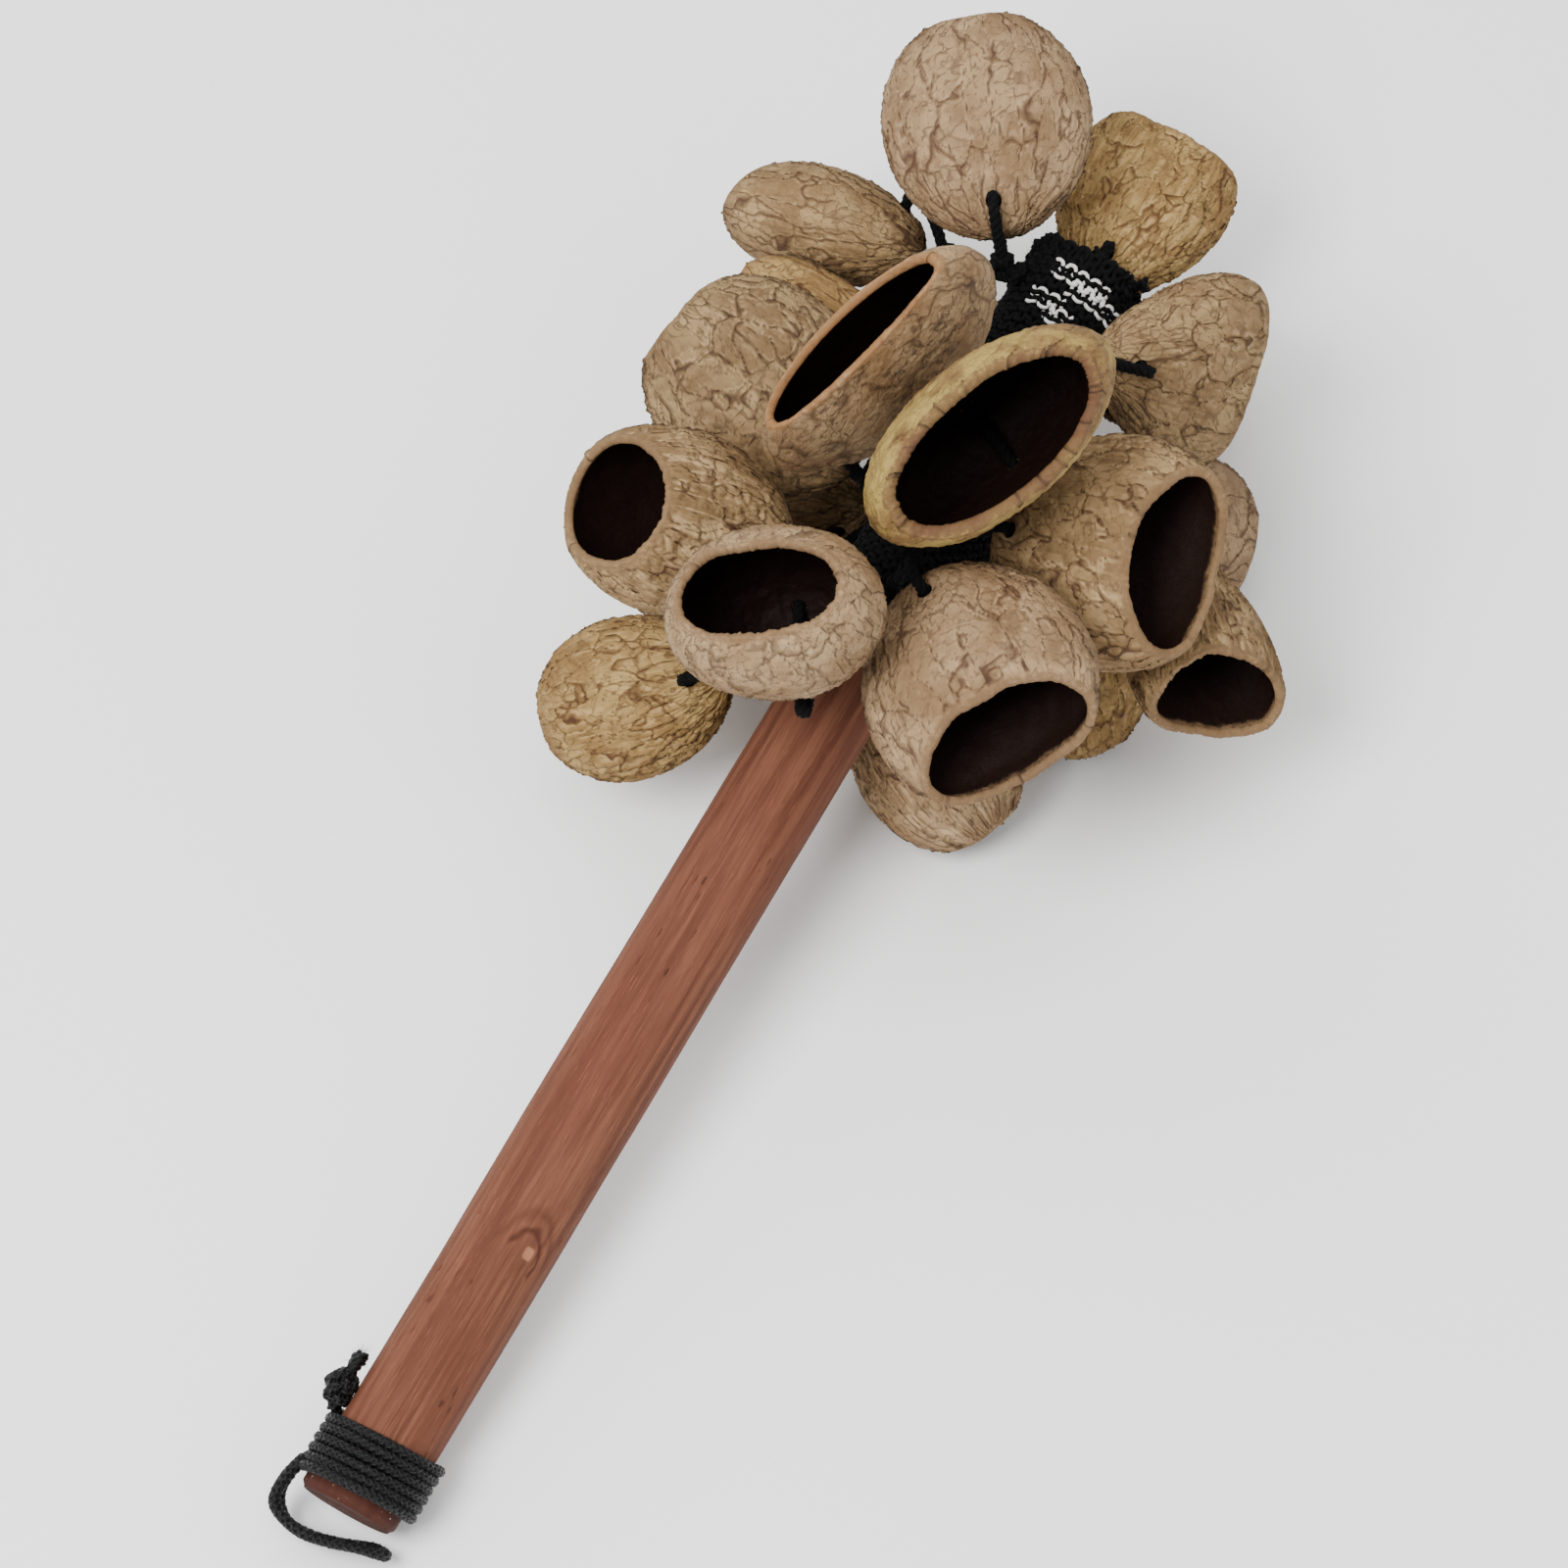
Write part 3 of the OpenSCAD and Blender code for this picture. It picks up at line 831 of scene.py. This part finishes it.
def lay_lining(made):
    """A plain tube behind the loops that closes the gaps between them."""
    ring = np.linspace(SLEEVE_START + 0.5, SLEEVE_END - 1.6, LINING_RINGS)
    a = np.arange(LINING_SIDES) * TURN / LINING_SIDES
    along, around = np.meshgrid(ring, a, indexing="ij")
    at = np.stack([np.cos(around) * 4, np.sin(around) * 4, along / 3], -1).reshape(-1, 3)
    out = SLEEVE_RADIUS - 1.5 + 0.25 * noise(at, 8).reshape(along.shape)
    quads = ring_quads(LINING_RINGS, LINING_SIDES, made.count).reshape(-1, 4)
    made.faces += quads.tolist()
    top = made.count + (LINING_RINGS - 1) * LINING_SIDES
    made.faces.append([top + j for j in range(LINING_SIDES)])
    points = on_stick(out * np.cos(around), out * np.sin(around), along)
    made.points.append(points.reshape(-1, 3))
    made.tone.append(np.zeros(along.size))
    made.place.append(np.stack([around.ravel() * 4, along.ravel(), along.ravel() * 0], 1))
    made.count += along.size


def lay_tufts(made, rng):
    """Torn yarn ends at the top."""
    for k in range(TUFTS):
        around = rng.uniform(0, 360)
        drop = rng.uniform(0.5, 4) * (k % 3 > 0) + 0.5
        foot = polar(around, 11.0 - 5 * (k % 3 == 0), SLEEVE_END - drop)
        out = polar(around, 1.0, 0) - polar(around, 0.0, 0)
        # short ones below the top shell, which swings close to the sleeve
        reach = 0.3 if around > 255 else 1.0
        tip = foot + reach * (out * rng.uniform(0.6, 2.2) + ALONG * rng.uniform(0.2, 1.8))
        bend = (foot + tip) / 2 + rng.normal(0, 0.5, 3)
        path = curve_through([foot - out * 0.5, bend, tip], 0.4)
        flare = 1 + 1.2 * step(0.5, 1.0, np.linspace(0, 1, len(path)))
        lay_plies(made, path, rng.uniform(0.7, 1.2), 3.5, 5, flare)
        lay_hairs(made, rng, path[-4:], np.repeat(out[None], 4, 0), 14, 1.6)


def make_sleeve(paint, rng):
    made = Strands()
    lay_rows(made)
    lay_top(made)
    lay_lining(made)
    lay_tufts(made, rng)
    # loose fibres, more of them towards the top
    around = rng.uniform(0, 360, HAIRS)
    reach = SLEEVE_END - SLEEVE_START - 8
    along = SLEEVE_END - 4 - reach * rng.uniform(0, 1, HAIRS) ** 1.6
    foot = polar(around, 12.0, along)
    lay_hairs(made, rng, foot, polar(around, 1.0, 0 * along) - END, HAIRS, 1.1, 0.045)
    sleeve = made.made("sleeve_knit", paint)
    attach(sleeve, "root")
    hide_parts("knit_sleeve")


# ---- nut shells ----


def shell_axes(number):
    """A shell's own origin and axes, from its hinge and the tip of its closed end."""
    joint = next(j for j in frame["joints"] if j["child"] == f"shell_{number:02d}")
    hinge = np.array(joint["pos_m"]) / MM
    across = np.array(joint["axis"], float)
    across /= np.linalg.norm(across)
    mesh = frame["nodes"][f"nut_shell_{number:02d}"].data
    co = np.array([v.co for v in mesh.vertices], float) / MM - hinge
    off = np.abs(np.linalg.norm(co, axis=1) - HOLE_DEPTH) + np.abs(co @ across)
    tip = co[int(off.argmin())]
    up = -tip / np.linalg.norm(tip)
    return hinge + tip, np.cross(across, up), across, up


def centre_height(kind):
    """How far the middle of a shell's egg shape is from its closed end."""
    return kind.length / (1 - math.cos(math.radians(kind.mouth)))


def mouth_angle(kind, p):
    return kind.mouth + kind.tilt * np.sin(p) + kind.dip * np.cos(2 * p)


def shell_surface(kind, angle, p, inset):
    """Points at the angles from the closed end and p round, inset from the CAD surface."""
    c = centre_height(kind)
    a = np.radians(angle)
    return np.stack(
        [
            (kind.half_width - inset) * np.sin(a) * (1 - kind.taper * np.cos(a)) * np.cos(p),
            (kind.half_thick - inset) * np.sin(a) * (1 - 0.08 * np.cos(a)) * np.sin(p),
            c - (c - inset) * np.cos(a),
        ],
        -1,
    )


def grid_normals(grid):
    """Outward normals of a grid [ring, side, xyz] that closes round its sides."""
    down = np.gradient(grid, axis=0)
    round_ = np.roll(grid, -1, 1) - np.roll(grid, 1, 1)
    n = np.cross(round_, down)
    size = np.linalg.norm(n, axis=2, keepdims=True)
    return -n / np.maximum(size, 1e-9)


def shell_skin(kind, skin_name, number, flat, shift):
    """Distances from the veins and from the small net, slow lumps and the skin's relief."""
    wide, long, small_wide, small_long, depth, small_depth, wave, wrinkle = SKINS[skin_name]
    warp = np.stack([noise(flat / 6 + shift, seed) for seed in (3, 4, 5)], 1)
    fine_warp = np.stack([noise(flat / 2 + shift, seed) for seed in (6, 7, 8)], 1)
    bent = flat + wave * warp + 0.5 * fine_warp
    net = cells(bent / [small_wide, small_wide, small_long] + shift * 2, number + 50)
    turned = np.arctan2(flat[:, 1] / kind.half_thick, flat[:, 0] / kind.half_width)
    # the main veins run from the closed end to the mouth and join on the way
    fan = kind.half_width / wide
    belt = np.stack([np.cos(turned) * fan, np.sin(turned) * fan, flat[:, 2] / long], 1)
    vein = cells(belt + 0.10 * wave * warp + 0.10 * fine_warp + shift, number)
    around = np.stack([np.cos(turned) * 14, np.sin(turned) * 14, flat[:, 2] / 14], 1)
    wavy = np.sin(2.2 * (noise(around * 0.5 + 0.12 * warp, number) * 9 + warp[:, 0] * 1.5))
    lumps = noise(flat / 11 + shift, 11)
    ridge = np.exp(-((vein / 0.13) ** 2)) - 1.7 * np.exp(-((vein / 0.05) ** 2))
    small = np.exp(-((net / 0.20) ** 2)) - 1.5 * np.exp(-((net / 0.08) ** 2))
    relief = depth * ridge + small_depth * small * (0.5 + 0.5 * lumps) + 0.30 * wrinkle * wavy
    relief += 0.14 * rough(flat / 1.4 + shift, 13, 3)
    return vein, net, lumps, relief


def mouth_cracks(kind, count, rng, p, to_edge):
    """0 to 1 on the grid: the short cracks that run in from the mouth."""
    starts = rng.uniform(0, TURN, count)
    sizes = rng.uniform(0.3, 0.9, count) * np.where(rng.random(count) < 0.25, 4.0, 1)
    crack = np.zeros(to_edge.shape)
    for start, size in zip(starts, sizes):
        turned = (p - start + 0.03 * to_edge + math.pi) % TURN - math.pi
        across = np.abs(turned) * kind.half_width * 0.6
        open_share = 1 - step(size * 0.6, size, to_edge)
        crack = np.maximum(crack, np.exp(-((across / 0.20) ** 2)) * open_share)
    return crack


def hole_cut(grid, c):
    """The cells of the grid [ring, side, xyz] that the two tie holes take away."""
    middle = (grid + np.roll(grid, -1, 1)) / 2
    middle = (middle[:-1] + middle[1:]) / 2
    off = np.hypot(middle[..., 0], middle[..., 2] - HOLE_DEPTH)
    cut = np.zeros(grid.shape[:2], bool)
    cut[:-1] = (off < HOLE_RADIUS * 0.97) & (middle[..., 2] < c)
    return cut


def cut_border(cut):
    """The edges, as pairs of (ring, side), between cells cut away and cells that stay."""
    sides = cut.shape[1]
    edges = []
    for j, k in zip(*np.nonzero(cut)):
        q = (k + 1) % sides
        for a, b, other in (
            ((j, k), (j, q), (j - 1, k)),
            ((j, q), (j + 1, q), (j, q)),
            ((j + 1, q), (j + 1, k), (j + 1, k)),
            ((j + 1, k), (j, k), (j, (k - 1) % sides)),
        ):
            if not cut[other]:
                edges.append((a, b))
    return edges


def round_holes(grid, border):
    """Moves the points on the holes' borders onto a circle."""
    for j, k in {v for edge in border for v in edge}:
        x, z = grid[j, k, 0], grid[j, k, 2] - HOLE_DEPTH
        size = max(math.hypot(x, z), 1e-6)
        grid[j, k, 0] = x * HOLE_RADIUS / size
        grid[j, k, 2] = HOLE_DEPTH + z * HOLE_RADIUS / size


def lip_between(outer, inner, torn):
    """The rounded lip's rings, from the outer skin's last ring to the inner one's."""
    centre, half = (outer[-1] + inner[-1]) / 2, (outer[-1] - inner[-1]) / 2
    onward = outer[-1] - outer[-2]
    onward /= np.linalg.norm(onward, axis=1)[:, None]
    onward -= (onward * half).sum(1)[:, None] * half / (half * half).sum(1)[:, None]
    onward /= np.linalg.norm(onward, axis=1)[:, None]
    size = np.linalg.norm(half, axis=1)[:, None]
    lips = []
    for k, uneven in enumerate(torn, 1):
        t = math.pi * k / (LIP_RINGS + 1)
        out = math.sin(t) * onward * size * uneven * LIP_FULLNESS
        lips.append(centre + math.cos(t) * half + out)
    return np.array(lips)


def make_shell(number, paint):
    kind_name, skin_name, slot, lip_extra, ragged = SHELLS[number - 1]
    kind = KINDS[kind_name]
    c = centre_height(kind)
    rng = np.random.default_rng(500 + number)
    shift = rng.uniform(-80, 80, 3)
    sides, rings = ((256, 150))
    p = np.arange(sides) * TURN / sides
    # the mouth's own edge, uneven and a little chipped
    edge_at = np.stack([np.cos(p) * 3, np.sin(p) * 3, np.full(sides, number * 7.0)], 1)
    uneven = 1.2 * noise(edge_at, number) + ragged * (
        0.7 * noise(edge_at * 4, number + 1) + 0.8 * noise(edge_at * 11, number + 2)
    )
    mouth = mouth_angle(kind, p) - 3.4 - 0.4 * lip_extra + uneven
    angle = mouth[None, :] * np.linspace(0, 1, rings + 1)[1:, None]
    to_edge = (mouth[None, :] - angle) * math.pi / 180 * c
    # the outer skin
    outer = shell_surface(kind, angle, p, OUTER_INSET)
    normal = grid_normals(outer)
    flat = outer.reshape(-1, 3)
    vein, net, lumps, relief = shell_skin(kind, skin_name, number, flat, shift)
    calm = step(0.0, 1.8, to_edge).ravel()
    tip_calm = step(0.0, 3.0, np.linalg.norm(flat[:, :2], axis=1))
    high = relief * (0.12 + 0.88 * calm) * (0.3 + 0.7 * tip_calm)
    crack = mouth_cracks(kind, 22 if skin_name == "fibre" else 2, rng, p, to_edge).ravel()
    push = np.clip(high + 0.45 * lumps - 0.40, *PUSH) - 0.5 * crack
    # near the tie holes the skin is even
    near_hole = np.hypot(flat[:, 0], flat[:, 2] - HOLE_DEPTH)
    near_hole = np.where(flat[:, 2] < 0.5 * c + HOLE_DEPTH, near_hole, 99.0)
    push = -0.1 + (push + 0.1) * step(HOLE_RADIUS, HOLE_RADIUS + 1.5, near_hole)
    outer = outer + push.reshape(angle.shape)[..., None] * normal
    # the inside, on the same grid lines near the holes so that they go straight through
    share = 1 - step(60, 85, angle)
    level = np.clip(c * np.cos(np.radians(angle)) / (c - INNER_INSET), -1, 1)
    floor_angle = np.maximum(np.degrees(np.arccos(level)), angle * 0.55)
    inner_angle = angle + (floor_angle - angle) * share
    inset = INNER_INSET + lip_extra * step(6.0, 0.5, to_edge)
    inner = shell_surface(kind, inner_angle, p, inset)
    bumps = 0.35 * rough(inner.reshape(-1, 3) / 4 + shift, 23, 3)
    bumps *= calm * step(HOLE_RADIUS, 4, near_hole)
    depth = (0.1 + np.abs(bumps)).reshape(angle.shape)
    inner = inner - depth[..., None] * grid_normals(inner)
    # beyond the holes the plain inside needs only every fourth ring
    keep = [j for j in range(rings) if angle[j].mean() < 62 or j % 4 == 0 or j > rings - 4]
    cut = hole_cut(flat.reshape(outer.shape), c)
    border = cut_border(cut)
    round_holes(outer, border)
    round_holes(inner, border)
    torn = [
        1 + 0.16 * ragged * noise(edge_at * 14 + [0, 0, 0.6 * k], number + 9)[:, None]
        for k in range(1, LIP_RINGS + 1)
    ]
    lips = lip_between(outer, inner, torn).reshape(-1, 3)
    # all rings in order: outside, lip, inside, with a point at each end
    inside = inner[keep][::-1].reshape(-1, 3)
    top = np.array([[0, 0, OUTER_INSET - 0.2]])
    bottom = np.array([[0, 0, inner[0, :, 2].mean() + 0.02]])
    points = np.concatenate([top, outer.reshape(-1, 3), lips, inside, bottom])
    total = rings + LIP_RINGS + len(keep)
    inner_at = {j: rings + LIP_RINGS + i for i, j in enumerate(keep[::-1])}
    solid = np.ones((total - 1, sides), bool)
    solid[:rings] &= ~cut
    for j in range(rings - 1):
        if cut[j].any():
            solid[inner_at[j + 1]] &= ~cut[j]
    last = 1 + (total - 1) * sides
    faces = ring_quads(total, sides, 1)[solid].tolist()
    faces += [[0, 1 + (k + 1) % sides, 1 + k] for k in range(sides)]
    faces += [[len(points) - 1, last + k, last + (k + 1) % sides] for k in range(sides)]
    for (j, k), (j2, k2) in border:
        a, b = 1 + j * sides + k, 1 + j2 * sides + k2
        a_in, b_in = 1 + inner_at[j] * sides + k, 1 + inner_at[j2] * sides + k2
        faces.append([a, b, b_in, a_in])
    # what the paint reads at every point
    inside_edge = -to_edge[keep][::-1].ravel()
    along_lip = np.arange(1, LIP_RINGS + 1) / LIP_RINGS
    lip_edge = np.repeat(0.4 - 1.6 * along_lip * (0.5 + lip_extra), sides)
    inside_edge = np.minimum(inside_edge, lip_edge[-1]) - 0.5
    lip_crack = np.outer(np.linspace(0.6, 1.0, LIP_RINGS), crack[-sides:]).ravel()
    rest = np.ones(len(lips) + len(inside) + 1)
    floats = {
        "vein": np.concatenate([[1], vein, rest]),
        "net": np.concatenate([[1], net, rest]),
        "high": np.concatenate([[0], high, 0 * rest]),
        "edge": np.concatenate([[20], to_edge.ravel(), lip_edge, inside_edge, [-20]]),
        "crack": np.concatenate([[0], crack, lip_crack, np.zeros(len(inside) + 1)]),
    }
    place = np.concatenate([top, flat, lips, inside, bottom]) + shift
    # the points that no face uses, inside the holes, are left out
    used = np.zeros(len(points), bool)
    for f in faces:
        used[f] = True
    number_of = np.cumsum(used) - 1
    origin, along_x, along_y, along_z = shell_axes(number)
    world = origin + points @ np.array([along_x, along_y, along_z])
    made = mesh_object(
        f"shell_{number:02d}_skin",
        world[used],
        [number_of[f].tolist() for f in faces],
        paint,
        {k: v[used] for k, v in floats.items()},
        {"place": place[used]},
    )
    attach(made, f"shell_{number:02d}")
    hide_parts(f"nut_shell_{number:02d}")


# ---- shell ties ----


def hole_side(kind):
    """How far to each side of the shell's middle its tie holes are."""
    ca = 1 - HOLE_DEPTH / centre_height(kind)
    return kind.half_thick * math.sqrt(1 - ca * ca) * (1 - 0.08 * ca)


def make_tie(number, paint):
    kind = KINDS[SHELLS[number - 1][0]]
    rng = np.random.default_rng(900 + number)
    origin, _, ay, az = shell_axes(number)
    y = hole_side(kind) + LEG_GAP
    leg = [(1.2, -3.6), (min(4.2, 0.6 * y), -1.8), (y - 0.4, 2.2), (y, 4.6), (y - 0.7, HOLE_DEPTH)]
    route = [origin + a * ay + b * az for a, b in leg]
    route += [origin - a * ay + b * az for a, b in leg[::-1]]
    knot = origin - KNOT_DROP * az
    made = Strands()
    path = curve_through([knot, *route, knot], 0.5)
    lay_plies(made, path, TIE_RADIUS * 1.12, 4.6)
    local = in_stick(knot)
    if local[2] > SLEEVE_END - 2:
        foot = on_stick(local[0] * 0.6, local[1] * 0.6, SLEEVE_END - 1.5)
    elif number in ANCHORS:
        foot = polar(ANCHORS[number][0], SLEEVE_RADIUS - FOOT_DEPTH, ANCHORS[number][1])
    else:
        around = math.degrees(math.atan2(local[1], local[0]))
        along = min(max(local[2], SLEEVE_START + 3), SLEEVE_END - 4)
        foot = polar(around, SLEEVE_RADIUS - FOOT_DEPTH, along)
    run = knot - foot
    reach = np.linalg.norm(run)
    side = np.cross(run, [0.2, 0.5, 0.8])
    side /= np.linalg.norm(side)
    sag = 0.10 * min(reach, 5.0)
    for w in (-1, 1):
        middle = foot + run * 0.5 + side * w * (0.45 + sag)
        stem = curve_through([foot, middle, knot], 0.5)
        lay_plies(made, stem, 1.05, 4.0)
    line = even(knot_line(knot, az, 1.7, 1.4, rng.uniform(0, 6)), 0.5)
    lay_plies(made, line, 1.15, 4.0)
    # a bunched second hitch where the cord enters the sleeve
    axis = run / max(reach, 1e-6)
    if reach > 6:
        hitch = even(knot_line(foot + axis * 2.0, axis, 1.7, 1.1, rng.uniform(0, 6)), 0.5)
        lay_plies(made, hitch, 1.1, 4.0)
    # cut tails and loose fibres
    for _ in range(2):
        out = rng.normal(0, 1, 3)
        out -= (out @ az) * az * (1.0 if out @ az > 0 else 0.2)
        out /= np.linalg.norm(out)
        tip = knot + out * rng.uniform(2.6, 3.6) - az * rng.uniform(0.2, 1.6)
        tail = curve_through([knot, (knot + tip) / 2 + rng.normal(0, 0.3, 3), tip], 0.4)
        flare = 1 + 1.0 * step(0.5, 1.0, np.linspace(0, 1, len(tail)))
        lay_plies(made, tail, 0.95, 3.4, 6, flare)
        lay_hairs(made, rng, tail[-3:], np.repeat(out[None], 3, 0), 20, 1.3, 0.045)
    u, v = carried_frames(path)
    a = rng.uniform(0, TURN, len(path))
    away = np.cos(a)[:, None] * u + np.sin(a)[:, None] * v
    lay_hairs(made, rng, path + 0.9 * away, away, 150, 0.9, 0.04)
    tie = made.made(f"tie_{number:02d}_cord", paint)
    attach(tie, "root")
    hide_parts(f"shell_tie_{number:02d}")


# ---- the making ----

make_camera()
make_stage()
waxed = cord_paint("waxed_black_cord", (2, 2, 2), (9, 9, 10), 0.42, 0.22, 0.28)
yarn = cord_paint("black_yarn", (4, 4, 5), (14, 14, 15), 0.95, 0.04, 0.12)
make_loop(waxed)
make_lashing(waxed)
make_lashing_knot(waxed, np.random.default_rng(41))
make_stick(wood_paint())
make_sleeve(yarn, np.random.default_rng(42))
paints = {}
for index, (kind_name, skin_name, slot_name, lip, torn) in enumerate(SHELLS):
    if (slot_name, skin_name) not in paints:
        name = f"{slot_name}_{skin_name}"
        paints[(slot_name, skin_name)] = shell_paint(name, slot_name, skin_name)
    make_shell(index + 1, paints[(slot_name, skin_name)])
    make_tie(index + 1, yarn)
